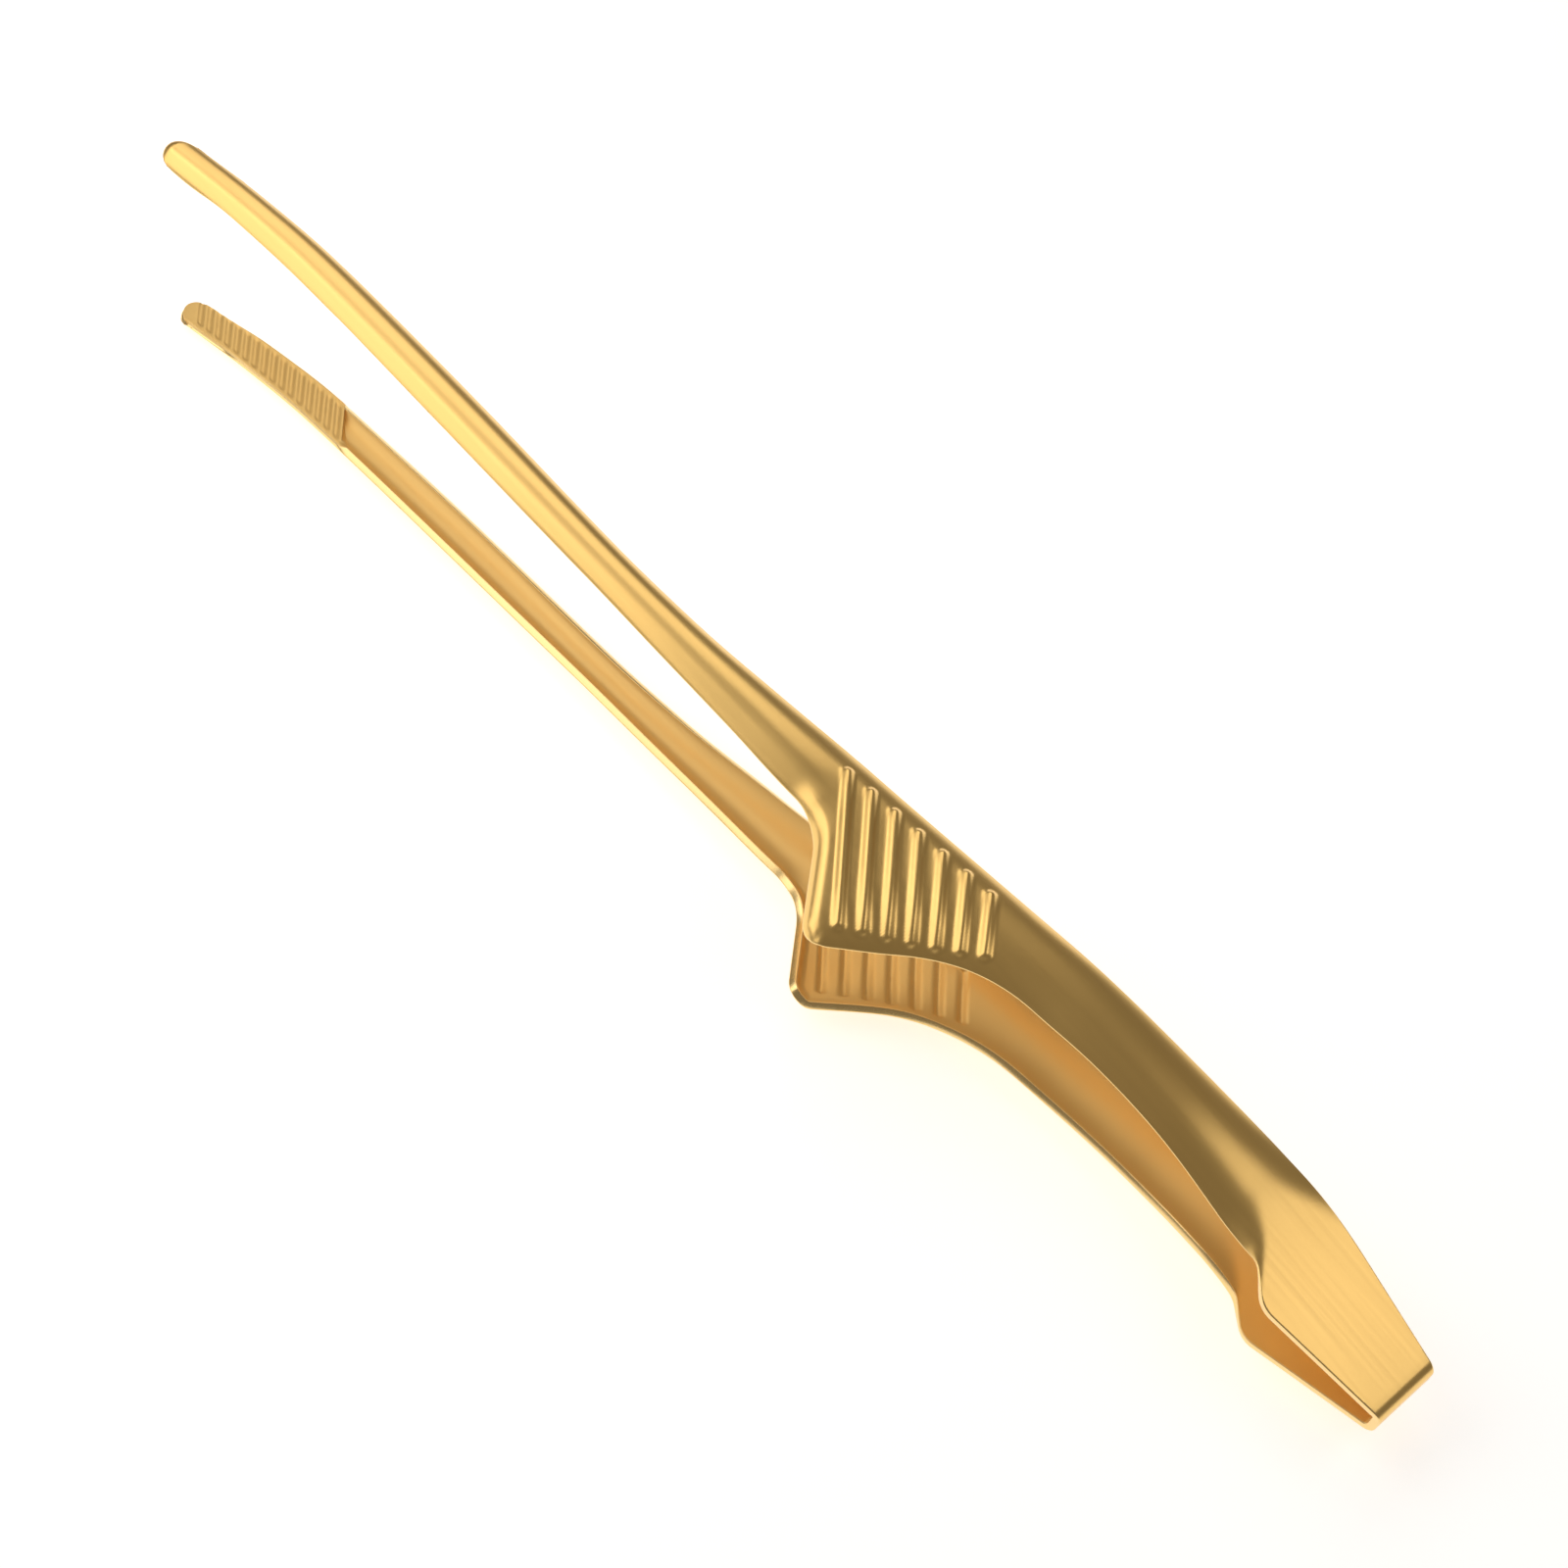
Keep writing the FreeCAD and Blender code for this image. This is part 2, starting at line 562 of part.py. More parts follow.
def place(placement, bow, arm, mirrored):
    """Move both formed pieces; the mirror plane of the third one moves with them."""
    bow.Placement = placement
    arm.Placement = placement
    mirrored.Base = placement.Base
    mirrored.Normal = placement.Rotation.multVec(FreeCAD.Vector(0, 0, 1))


def check_document(pieces):
    for item in doc.Objects:
        if "Invalid" in item.State or "Error" in item.State:
            raise RuntimeError(item.Name + " did not compute: " + str(item.State))
    for piece in pieces:
        if piece.Shape.isNull() or not piece.Shape.isValid() or len(piece.Shape.Solids) != 1:
            raise RuntimeError(piece.Label + " is not one sound solid")


write_sheet()
bow = spring_bow()
upper = upper_arm()
lower = mirrored_arm(upper)
doc.recompute()
place(laid_down(bow, upper), bow, upper, lower)
doc.recompute()
check_document((bow, upper, lower))
os.makedirs("parts", exist_ok=True)
for piece in (bow, upper, lower):
    piece.Shape.exportStep("parts/" + piece.Label + ".step")
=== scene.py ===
from bisect import bisect_right
import json
import math

import bmesh
import bpy
from bpy.props import FloatProperty, FloatVectorProperty, IntProperty, PointerProperty
from mathutils import Matrix, Vector
from mathutils.kdtree import KDTree


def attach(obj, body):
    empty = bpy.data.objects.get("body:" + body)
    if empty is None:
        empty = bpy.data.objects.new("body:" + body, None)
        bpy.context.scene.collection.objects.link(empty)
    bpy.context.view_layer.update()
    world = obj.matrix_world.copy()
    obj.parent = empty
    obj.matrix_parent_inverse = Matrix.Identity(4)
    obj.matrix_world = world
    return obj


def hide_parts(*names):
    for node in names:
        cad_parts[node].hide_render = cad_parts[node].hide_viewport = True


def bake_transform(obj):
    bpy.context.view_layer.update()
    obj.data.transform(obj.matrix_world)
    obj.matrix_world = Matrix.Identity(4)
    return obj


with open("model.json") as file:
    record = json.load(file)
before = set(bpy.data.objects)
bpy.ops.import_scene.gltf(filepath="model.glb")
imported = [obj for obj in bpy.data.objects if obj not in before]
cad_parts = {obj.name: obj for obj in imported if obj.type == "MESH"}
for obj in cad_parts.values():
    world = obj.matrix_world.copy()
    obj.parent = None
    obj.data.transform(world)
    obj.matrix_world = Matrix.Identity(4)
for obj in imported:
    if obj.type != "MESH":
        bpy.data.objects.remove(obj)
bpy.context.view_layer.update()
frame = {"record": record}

bl_info = {
    "name": "Ice tongs",
    "version": (1, 0, 0),
    "blender": (4, 5, 0),
    "location": "3D View > Sidebar > Tongs",
    "description": "Spring tongs folded from one strip of gold steel",
    "category": "Add Mesh",
}

MM = 0.001
MM_PER_CM = 10

# The strip is formed in millimetres with the bow at X = 0 and the tips along -X; Y is across the
# strip, the finger rests stand out towards -Y, and Z = 0 is the plane the two arms close on.
# "Reach" is the distance from the bow's back face.  Stations are (reach, value).

CREST = [
    (0, 2.45), (10, 4.21), (17, 5.45), (23, 6.5), (30, 7.7), (45, 9.95), (62, 11.1), (76, 11.35),
    (91, 11.95), (99, 12.5), (108, 13.1), (120, 13.55), (134, 14.1), (150, 14.75), (180, 16.2),
    (200, 17.2), (212, 17.8), (226, 18.55), (240, 19.15),
]
# The crown falls away on both sides of this line.  Nearer the bow the line splits in two, and the
# strip is flat between them.
RIDGE = [
    (45, 2.7), (62, 2.2), (76, 1.3), (91, -0.2), (99, -1.3), (104, -2.0), (108, -2.6), (120, -3.4),
    (134, -4.3), (150, -4.85), (180, -5.4), (200, -5.95), (212, -6.5), (226, -8.05), (240, -10.25),
]
LOW_LINE = [(0, -9.0), (16, -9.0), (19, -7.6), (23, -3.4), (26.5, 0.2), (31, 2.3), (38, 2.7)] + RIDGE
HIGH_LINE = [(0, 9.0), (16, 8.6), (23, 6.4), (31, 3.6), (38, 2.9)] + RIDGE
# Radius of the crown, the same on both sides of the jaw but not of the handle.
JAW_RADIUS = [
    (108, 7.5), (120, 5.83), (134, 4.46), (150, 3.93), (180, 4.19), (200, 4.1), (212, 3.94),
    (226, 3.65), (240, 3.5),
]
LOW_RADIUS = [
    (0, 60), (16, 20), (19, 6.0), (23, 5.5), (26.5, 8.0), (31, 10.5), (45, 9.1), (62, 8.8),
    (76, 17.8), (91, 77), (99, 45), (104, 16),
] + JAW_RADIUS
HIGH_RADIUS = [
    (0, 60), (16, 30), (23, 16), (31, 12), (45, 9.1), (62, 8.6), (76, 7.1), (91, 7.0), (99, 7.1),
    (104, 7.3),
] + JAW_RADIUS
# Half width of the jaw beyond the finger rest.
JAW_HALF = [
    (108, 5.1), (120, 4.35), (134, 3.65), (150, 3.3), (180, 3.37), (200, 3.25), (212, 3.17),
    (226, 2.92), (233, 2.75), (240, 2.55),
]
# Outline corners before the jaw: reach, offset across, rounding.
HIGH_CORNERS = [(0, 5.1, 0), (10, 6.72, 0), (27, 9.5, 110), (72, 6.9, 150), (108, 2.5, 0)]
LOW_CORNERS = [
    (0, -5.1, 0), (10, -6.42, 0), (19.1, -7.65, 4.0), (23.7, -4.2, 3.5), (47, -1.9, 130),
    (75, -4.6, 27), (90.9, -20.7, 3.5), (102.4, -7.6, 10), (108, -7.7, 0),
]
# How the foot-side edge is turned in: angle in degrees, radius of the turn, width of its wall.
ROLL_ANGLE = [
    (60, 0), (74, 6), (82, 16), (88.6, 20), (90.4, 46), (92, 60), (101, 60), (104, 48), (108, 26),
    (114, 15), (124, 8), (140, 0),
]
ROLL_RADIUS = [(60, 5.0), (88.6, 4.0), (91.5, 2.1), (104, 2.1), (114, 2.6), (140, 3.0)]
ROLL_WALL = [(60, 0), (89, 0), (92, 0.75), (102, 0.75), (106, 0.3), (112, 0)]

# First and last finger rib, each from its end near the crest to its end near the edge.
FIRST_RIB = ((104.7, -0.4), (89.6, -15.3))
LAST_RIB = ((80.1, 2.6), (74.6, -3.5))

# Outer radius of the bow's corners, their height apart before rounding, and the length and slope
# of the leg beyond each.
BOW_BEND = 1.7
BOW_HEIGHT = 4.9
BOW_LEG = 5.1
LEG_SLOPE = math.radians(10)
# The bow and the arms meet at the cut. Two reaches beyond it bound a span of each arm, but no bend
# is set up over it.
LEG_CUT = 3.0
BEND_START = 3.6
BEND_END = 16.4
# The foot-side edge is turned in over this span of reaches, and no further in than this width.
# Places along it are looked up in short steps.
TURN_SPAN = (60, 140)
TURN_WIDTH = 6
TURN_STEP = 0.1
# The ribs lie in this span.  Each is hollow on the inner face, narrower and shallower there.
RIB_SPAN = (70, 110)
HOLLOW_WIDTH = 0.72
HOLLOW_DEPTH = 0.8
# The nose is rounded in outline and, over the dome's length, in height.
NOSE_REACH = 240.0
NOSE_ROUND = 2.9
NOSE_START = 224
NOSE_BLEND = 13.5
DOME = 1.5
NOSE_LIP = 0.15
# The pad lies wholly beyond PAD_REACH, sunk below the crest and set in from the sides and, over
# the last stretch, from the nose.  Round its very edge the inner face stays PAD_RIM under the
# outer one.
PAD_REACH = 198
PAD_DEPTH = 2.35
PAD_MARGIN = 0.35
PAD_SETBACK = 1.2
PAD_RIM = 0.6
RIM_LENGTH = 0.12
# The pad's start and its grooves run slanted, so their places are reach less offset across.  The
# grooves take up a share of the half width, and fade out at the sides and at the first and last.
PAD_START = 212.1
PAD_RAMP = 0.4
FIRST_GROOVE = 213.8
GROOVE_STEP = 1.55 * math.sqrt(2)
GROOVE_HALF = 0.9
SIDE_FADE = 0.25
FIRST_FADE = 0.1
LAST_FADE = 0.3
# Columns of vertices along an arm: start, end and spacing.  They are close
# together at the ribs, the teeth and the nose.
ARM_COLUMNS = [
    (1.5, 10, 1.0), (10, 31, 0.6), (31, 71, 1.1), (71, 107, 0.3), (107, 112, 0.6),
    (112, 200, 1.5), (200, 204, 0.8), (204, 238.4, 0.2), (238.4, 239.4, 0.14),
    (239.4, 239.85, 0.09), (239.85, 240, 0.05),
]
# Rows of vertices across an arm.  Some are kept for a band at the foot-side edge, which has a
# greatest width and a greatest share of the strip.
ARM_ROWS = 84
BAND_ROWS = 12
BAND_WIDTH = 3.0
BAND_SHARE = 0.38
# Rows across the bow, and steps round each of its corners and along each of its legs.
BOW_ROWS = 29
BEND_STEPS = 14
LEG_STEPS = 6
# Faces that meet at more than this angle keep a crease, and vertices this close are merged.
CREASE = math.radians(46)
DOUBLES = 1e-4
# Greatest sine of the angle at which the crown may lean.
FULL_LEAN = 0.98
OUTSIDE = "satin_gold"
INSIDE = "satin_gold_inside"


class Track:
    """Smooth line through stations that never overshoots them."""

    def __init__(self, stations):
        self.at = [float(place) for place, _ in stations]
        self.level = [float(level) for _, level in stations]
        steps = [after - before for before, after in zip(self.at, self.at[1:])]
        rises = [(b - a) / step for a, b, step in zip(self.level, self.level[1:], steps)]
        self.slope = [rises[0]]
        for index in range(1, len(rises)):
            before, after = rises[index - 1], rises[index]
            if before * after <= 0:
                self.slope.append(0.0)
                continue
            near = 2 * steps[index] + steps[index - 1]
            far = steps[index] + 2 * steps[index - 1]
            self.slope.append((near + far) / (near / before + far / after))
        self.slope.append(rises[-1])

    def __call__(self, place):
        place = min(max(place, self.at[0]), self.at[-1])
        index = min(bisect_right(self.at, place), len(self.at) - 1) - 1
        step = self.at[index + 1] - self.at[index]
        share = (place - self.at[index]) / step
        back = 1 - share
        return (
            self.level[index] * back * back * (1 + 2 * share)
            + self.level[index + 1] * share * share * (1 + 2 * back)
            + self.slope[index] * step * share * back * back
            - self.slope[index + 1] * step * share * share * back
        )


def inverted(stations):
    """Stations of a radius as stations of its curvature."""
    return [(reach, 1 / radius) for reach, radius in stations]


def rounded_path(corners, pieces=24):
    """Points along an outline whose corners are rounded with tangent arcs."""
    points = [Vector(corners[0][:2])]
    for before, corner, after in zip(corners, corners[1:], corners[2:]):
        place = Vector(corner[:2])
        if not corner[2]:
            points.append(place)
            continue
        back = (Vector(before[:2]) - place).normalized()
        ahead = (Vector(after[:2]) - place).normalized()
        half = back.angle(ahead) / 2
        middle = place + (back + ahead).normalized() * corner[2] / math.sin(half)
        start = place + back * corner[2] / math.tan(half) - middle
        turn = (math.pi - 2 * half) * (1 if back.cross(ahead) < 0 else -1)
        for index in range(pieces + 1):
            points.append(middle + Matrix.Rotation(turn * index / pieces, 2) @ start)
    points.append(Vector(corners[-1][:2]))
    return points


class Outline:
    """Edge of the strip: offset across the strip at a reach."""

    def __init__(self, corners, side):
        path = rounded_path(corners)
        self.side = side
        self.at = [point.x for point in path]
        self.level = [point.y for point in path]

    def __call__(self, reach):
        if reach >= self.at[-1]:
            return MIDDLE(reach) + self.side * HALF(reach)
        index = max(bisect_right(self.at, reach) - 1, 0)
        share = (reach - self.at[index]) / (self.at[index + 1] - self.at[index])
        return self.level[index] + (self.level[index + 1] - self.level[index]) * share


HEIGHT = Track(CREST)
MIDDLE = Track(LOW_LINE)
HIGH_FOLD = Track(HIGH_LINE)
LOW_BEND = Track(inverted(LOW_RADIUS))
HIGH_BEND = Track(inverted(HIGH_RADIUS))
HALF = Track(JAW_HALF)
LOW_EDGE = Outline(LOW_CORNERS, -1)
HIGH_EDGE = Outline(HIGH_CORNERS, 1)
TURN = Track(ROLL_ANGLE)
TURN_RADIUS = Track(ROLL_RADIUS)
TURN_WALL = Track(ROLL_WALL)


def ease(share):
    """0 to 1 with a soft start and a soft end."""
    share = min(max(share, 0.0), 1.0)
    return share * share * (3 - 2 * share)


def crown_drop(reach, across):
    """Height of the crest above a point of the strip."""
    low, high = across - MIDDLE(reach), across - HIGH_FOLD(reach)
    if high > 0:
        offset, bend = high, HIGH_BEND(reach)
    elif low < 0:
        offset, bend = low, LOW_BEND(reach)
    else:
        return 0.0
    lean = min(abs(bend * offset), FULL_LEAN)
    return offset * offset * bend / (1 + math.sqrt(1 - lean * lean))


def edge_samples():
    """Points along the foot-side edge, for finding how far a point is from it."""
    start, end = TURN_SPAN
    count = round((end - start) / TURN_STEP) + 1
    tree = KDTree(count)
    for index in range(count):
        reach = start + TURN_STEP * index
        tree.insert((reach, LOW_EDGE(reach), 0), index)
    tree.balance()
    return tree


EDGE_TREE = edge_samples()


def edge_turn(reach, across):
    """How far the turned-in edge lies below the crown at a point."""
    if not TURN_SPAN[0] < reach < TURN_SPAN[1] or across - LOW_EDGE(reach) > TURN_WIDTH:
        return 0.0
    near, _, _ = EDGE_TREE.find((reach, across, 0))
    ahead = Vector((near.x + TURN_STEP, LOW_EDGE(near.x + TURN_STEP), 0))
    along = (ahead - near).normalized()
    offset = Vector((reach, across, 0)) - near
    gap = abs(offset.x * along.y - offset.y * along.x)
    angle = math.radians(TURN(near.x))
    radius = TURN_RADIUS(near.x)
    wall = TURN_WALL(near.x) * math.cos(angle)
    if angle < 1e-4 or gap > wall + radius * math.sin(angle):
        return 0.0
    if gap < wall:
        return radius * (1 - math.cos(angle)) + (wall - gap) * math.tan(angle)
    lean = math.asin(math.sin(angle) - (gap - wall) / radius)
    return radius * (1 - math.cos(lean))


def nose_share(reach):
    """How much of the nose's rounding a column has taken up."""
    return ease((reach - NOSE_START) / NOSE_BLEND)


def place_on_arm(reach, share):
    """Reach, offset across, place across the strip before it was pressed, and distance from the
    nose, of a column's point.  The share runs from the foot-side edge to the other one."""
    low, high = LOW_EDGE(reach), HIGH_EDGE(reach)
    low_fold, high_fold = MIDDLE(reach), HIGH_FOLD(reach)
    low_bend, high_bend = LOW_BEND(reach), HIGH_BEND(reach)
    low_arc = math.asin(min(low_bend * max(low_fold - low, 0), FULL_LEAN)) / low_bend
    high_arc = math.asin(min(high_bend * max(high - high_fold, 0), FULL_LEAN)) / high_bend
    flat_start, flat_end = max(low, low_fold), min(high, high_fold)
    total = low_arc + (flat_end - flat_start) + high_arc
    along = share(total)
    if along < low_arc:
        across = low_fold - math.sin((low_arc - along) * low_bend) / low_bend
    elif along <= low_arc + flat_end - flat_start + 1e-9:
        across = flat_start + along - low_arc
    else:
        across = high_fold + math.sin((along - total + high_arc) * high_bend) / high_bend
    strip_across = along - low_arc + flat_start
    middle, half = (low + high) / 2, (high - low) / 2
    lean = min(abs((across - middle) / half), 1.0)
    back = NOSE_ROUND * (1 - math.sqrt(1 - lean * lean)) * nose_share(reach)
    return reach - back, across, strip_across, NOSE_REACH - reach


def crown_height(reach, across, to_end):
    """Height of the strip's outer face, ribs left out."""
    drop = crown_drop(reach, across) + edge_turn(reach, across)
    if to_end < DOME:
        side = crown_drop(reach, LOW_EDGE(reach))
        fall = 1 - math.sqrt(max(1 - (1 - to_end / DOME) ** 2, 0.0))
        drop += (side + NOSE_LIP - drop) * fall
    return HEIGHT(reach) - drop


def rib_lift(reach, across, width, count):
    """0 to 1: how much of the nearest finger rib's height a point has."""
    best = width
    for index in range(count):
        share = index / (count - 1)
        high = Vector(FIRST_RIB[0]).lerp(Vector(LAST_RIB[0]), share)
        low = Vector(FIRST_RIB[1]).lerp(Vector(LAST_RIB[1]), share)
        along = low - high
        offset = Vector((reach, across)) - high
        part = min(max(offset.dot(along) / along.length_squared, 0.0), 1.0)
        best = min(best, (offset - along * part).length)
    return 0.5 + 0.5 * math.cos(math.pi * best / width)


def spread(spans):
    """Positions at the spacings that a list of (start, end, spacing) asks for."""
    places = [spans[0][0]]
    for start, end, step in spans:
        count = max(round((end - start) / step), 1)
        places += [start + (end - start) * (index + 1) / count for index in range(count)]
    return places


def row_shares():
    """One function a row, giving its distance from the foot-side edge: rows are close together
    near that edge, and even elsewhere."""
    def share_of(row):
        def along(total):
            band = min(BAND_WIDTH, BAND_SHARE * total)
            if row <= BAND_ROWS:
                return band * row / BAND_ROWS
            return band + (total - band) * (row - BAND_ROWS) / (ARM_ROWS - 1 - BAND_ROWS)
        return along
    return [share_of(row) for row in range(ARM_ROWS)]


def sheet_grid(columns, rows):
    """Flat grid with one column a reach, and its vertices by column and row."""
    mesh = bmesh.new()
    bmesh.ops.create_grid(mesh, x_segments=columns - 1, y_segments=rows - 1, size=0.5)
    grid = {}
    for vertex in mesh.verts:
        column = round((vertex.co.x + 0.5) * (columns - 1))
        row = round((vertex.co.y + 0.5) * (rows - 1))
        grid[column, row] = vertex
    return mesh, grid


def second_face(mesh, grid):
    """Copy of the grid for the strip's other face, turned to look the other way."""
    geometry = mesh.verts[:] + mesh.edges[:] + mesh.faces[:]
    copy = bmesh.ops.duplicate(mesh, geom=geometry)
    faces = [item for item in copy["geom"] if isinstance(item, bmesh.types.BMFace)]
    for face in faces:
        face.material_index = 1
    bmesh.ops.reverse_faces(mesh, faces=faces)
    return {key: copy["vert_map"][vertex] for key, vertex in grid.items()}


def close_edges(mesh, rounding):
    """Join the two faces along the strip's edge and round both corners of that edge."""
    # Mask of the edge vertices, where the material paints a lighter highlight colour.
    highlight_edge_layer = mesh.verts.layers.float.new("edge")
    border = [edge for edge in mesh.edges if edge.is_boundary]
    for edge in border:
        for vertex in edge.verts:
            vertex[highlight_edge_layer] = 1.0
    bmesh.ops.bridge_loops(mesh, edges=border)
    bmesh.ops.bevel(
        mesh, geom=border, offset=rounding, offset_type="OFFSET", segments=3, profile=0.5,
        affect="EDGES", clamp_overlap=False, material=-1,
    )


def cut_off(mesh, reach, keep_bow):
    """Cut a piece square at a reach and close the cut."""
    geometry = mesh.verts[:] + mesh.edges[:] + mesh.faces[:]
    bmesh.ops.bisect_plane(
        mesh, geom=geometry, dist=1e-5, plane_co=(-reach, 0, 0), plane_no=(1, 0, 0),
        clear_inner=keep_bow, clear_outer=not keep_bow,
    )
    rim = [edge for edge in mesh.edges if edge.is_boundary]
    bmesh.ops.holes_fill(mesh, edges=rim, sides=0)
    for edge in rim:
        edge.smooth = False


def smooth_but_corners(mesh):
    """Smooth faces, with a crease where two faces meet at a corner."""
    for face in mesh.faces:
        face.smooth = True
    for edge in mesh.edges:
        if len(edge.link_faces) == 2 and edge.calc_face_angle(0.0) > CREASE:
            edge.smooth = False


def laid_matrix():
    """From the forming frame, in millimetres, to where the tongs lie, in metres."""
    back = next(mount for mount in frame["record"]["mounts"] if mount["name"] == "bow_back")
    axis = Vector(back["axis"])
    turn = Matrix.Rotation(math.atan2(-axis.z, axis.x), 4, "Y")
    return Matrix.Translation(Vector(back["pos_m"])) @ turn @ Matrix.Scale(MM, 4)


def laid_point(along, across, height):
    """A point of the forming frame where the tongs lie."""
    return laid_matrix() @ Vector((along, across, height))


def add_piece(name, mesh, materials):
    """Object from a finished bmesh, with its place in its mesh."""
    data = bpy.data.meshes.new(name)
    mesh.to_mesh(data)
    mesh.free()
    for material in materials:
        data.materials.append(material)
    piece = bpy.data.objects.new(name, data)
    bpy.context.collection.objects.link(piece)
    return piece


def lengthwise_map(mesh, places):
    """UV map of the strip: distance along it and distance across it, in centimetres."""
    layer = mesh.loops.layers.uv.new("strip")
    for face in mesh.faces:
        for loop in face.loops:
            if loop.vert in places:
                along, across = places[loop.vert]
                loop[layer].uv = (along / MM_PER_CM, across / MM_PER_CM)


def formed_arm(strip):
    """One arm of the strip in the forming frame: outer face, inner face, ribs, teeth, edges."""
    columns = spread(ARM_COLUMNS)
    shares = row_shares()
    sheet = strip.sheet / MM
    mesh, outer = sheet_grid(len(columns), ARM_ROWS)
    last = len(columns) - 1
    spots, uvs = {}, {}
    for (column, row), vertex in outer.items():
        station = columns[last - column]
        reach, across, along, to_end = place_on_arm(station, shares[row])
        spots[column, row] = (reach, across, to_end)
        uvs[vertex] = (reach, along)
        vertex.co = (-reach, across, crown_height(reach, across, to_end))
    mesh.normal_update()
    inner = second_face(mesh, outer)
    facing = {key: vertex.normal.copy() for key, vertex in outer.items()}
    width, lift = strip.rib_width / MM / 2 + 0.1, strip.rib_height / MM
    for key, (reach, across, to_end) in spots.items():
        above, below = outer[key], inner[key]
        uvs[below] = uvs[above]
        below.co = above.co - facing[key] * sheet
        if RIB_SPAN[0] < reach < RIB_SPAN[1]:
            rib = rib_lift(reach, across, width, strip.rib_count)
            hollow = rib_lift(reach, across, width * HOLLOW_WIDTH, strip.rib_count)
            above.co += facing[key] * lift * rib
            below.co += facing[key] * lift * HOLLOW_DEPTH * hollow
        if reach > PAD_REACH:
            side_row = key[1] in (0, ARM_ROWS - 1)
            below.co = pad_point(strip, side_row, below.co, reach, across, to_end)
    lengthwise_map(mesh, uvs)
    close_edges(mesh, strip.edge_round / MM)
    cut_off(mesh, LEG_CUT, False)
    return mesh


def pad_point(strip, side_row, channel, reach, across, to_end):
    """Place of an inner-face vertex near the tip, where a flat toothed pad fills the channel."""
    line = reach - across
    fill = ease((line - PAD_START + PAD_RAMP / 2) / PAD_RAMP)
    if not fill:
        return channel
    middle, half = MIDDLE(reach), HALF(reach)
    side = (across - middle) / half
    crest = HEIGHT(reach)
    if side_row or to_end < RIM_LENGTH:
        height = crest - crown_drop(reach, LOW_EDGE(reach)) - PAD_RIM
    else:
        turn = (line - FIRST_GROOVE) / GROOVE_STEP
        groove = 0.5 + 0.5 * math.cos(2 * math.pi * turn)
        last_groove = strip.groove_count - 0.5
        fade = ease((turn + 0.5) / FIRST_FADE) * ease((last_groove - turn) / LAST_FADE)
        fade *= ease((GROOVE_HALF - abs(side)) / SIDE_FADE)
        height = crest - PAD_DEPTH + strip.tooth_depth / MM * groove * fade
    inset = 1 - PAD_MARGIN / half
    setback = PAD_MARGIN * ease(1 - to_end / PAD_SETBACK)
    pad = Vector((-reach + setback, middle + side * half * inset, height))
    return channel.lerp(pad, fill)


def bow_path():
    """Points and outward directions along the outer face of the bow, in the X-Z plane, from the
    lower leg round to the upper one."""
    half = math.pi / 2 - LEG_SLOPE
    corner = BOW_HEIGHT / 2
    reach = BOW_BEND * math.tan(half / 2)
    upper = []
    for index in range(BEND_STEPS + 1):
        turned = half * index / BEND_STEPS
        direction = Vector((math.cos(turned), 0, math.sin(turned)))
        middle = Vector((-BOW_BEND, 0, corner - reach))
        upper.append((middle + direction * BOW_BEND, direction))
    slope = Vector((-math.cos(LEG_SLOPE), 0, math.sin(LEG_SLOPE)))
    face = Vector((math.sin(LEG_SLOPE), 0, math.cos(LEG_SLOPE)))
    end = upper[-1][0]
    for index in range(1, LEG_STEPS + 1):
        upper.append((end + slope * BOW_LEG * index / LEG_STEPS, face))
    flipped = [(Vector((p.x, 0, -p.z)), Vector((n.x, 0, -n.z))) for p, n in reversed(upper)]
    return flipped + [(Vector((0, 0, 0)), Vector((1, 0, 0)))] + upper


def formed_bow(strip):
    """The folded end of the strip in the forming frame."""
    path = bow_path()
    sheet = strip.sheet / MM
    mesh, outer = sheet_grid(len(path), BOW_ROWS)
    uvs, distances = {}, [0.0]
    for (before, _), (after, _) in zip(path, path[1:]):
        distances.append(distances[-1] + (after - before).length)
    middle = distances[-1] / 2
    straight = middle - BOW_LEG
    for (column, row), vertex in outer.items():
        point, _ = path[column]
        low, high = LOW_EDGE(-point.x), HIGH_EDGE(-point.x)
        across = low + (high - low) * row / (BOW_ROWS - 1)
        vertex.co = (point.x, across, point.z)
        uvs[vertex] = (abs(distances[column] - middle) - straight, across)
    inner = second_face(mesh, outer)
    for (column, row), vertex in inner.items():
        vertex.co = outer[column, row].co - path[column][1] * sheet
        uvs[vertex] = uvs[outer[column, row]]
    lengthwise_map(mesh, uvs)
    close_edges(mesh, strip.edge_round / MM)
    cut_off(mesh, LEG_CUT, True)
    return mesh


def laid_down(mesh, mirrored):
    """Move a formed piece to where the tongs lie, mirrored in the closing plane if asked."""
    if mirrored:
        bmesh.ops.transform(mesh, matrix=Matrix.Scale(-1, 4, (0, 0, 1)), verts=mesh.verts)
    bmesh.ops.remove_doubles(mesh, verts=mesh.verts, dist=DOUBLES)
    bmesh.ops.transform(mesh, matrix=laid_matrix(), verts=mesh.verts)
    bmesh.ops.recalc_face_normals(mesh, faces=mesh.faces)
    smooth_but_corners(mesh)


# ---------------------------------------------------------------------------------- finish


# How strongly the deburred edge takes a paler colour, a painted highlight, and its own gloss, how
# much the brushing changes the gloss, the specks' share of the relief, and the height of the relief
# in metres.
EDGE_HIGHLIGHT_TINT = 0.6
EDGE_POLISH = -0.05
GLOSS_CHANGE = 0.1
SPECK_SHARE = 0.5
RELIEF = 0.00002


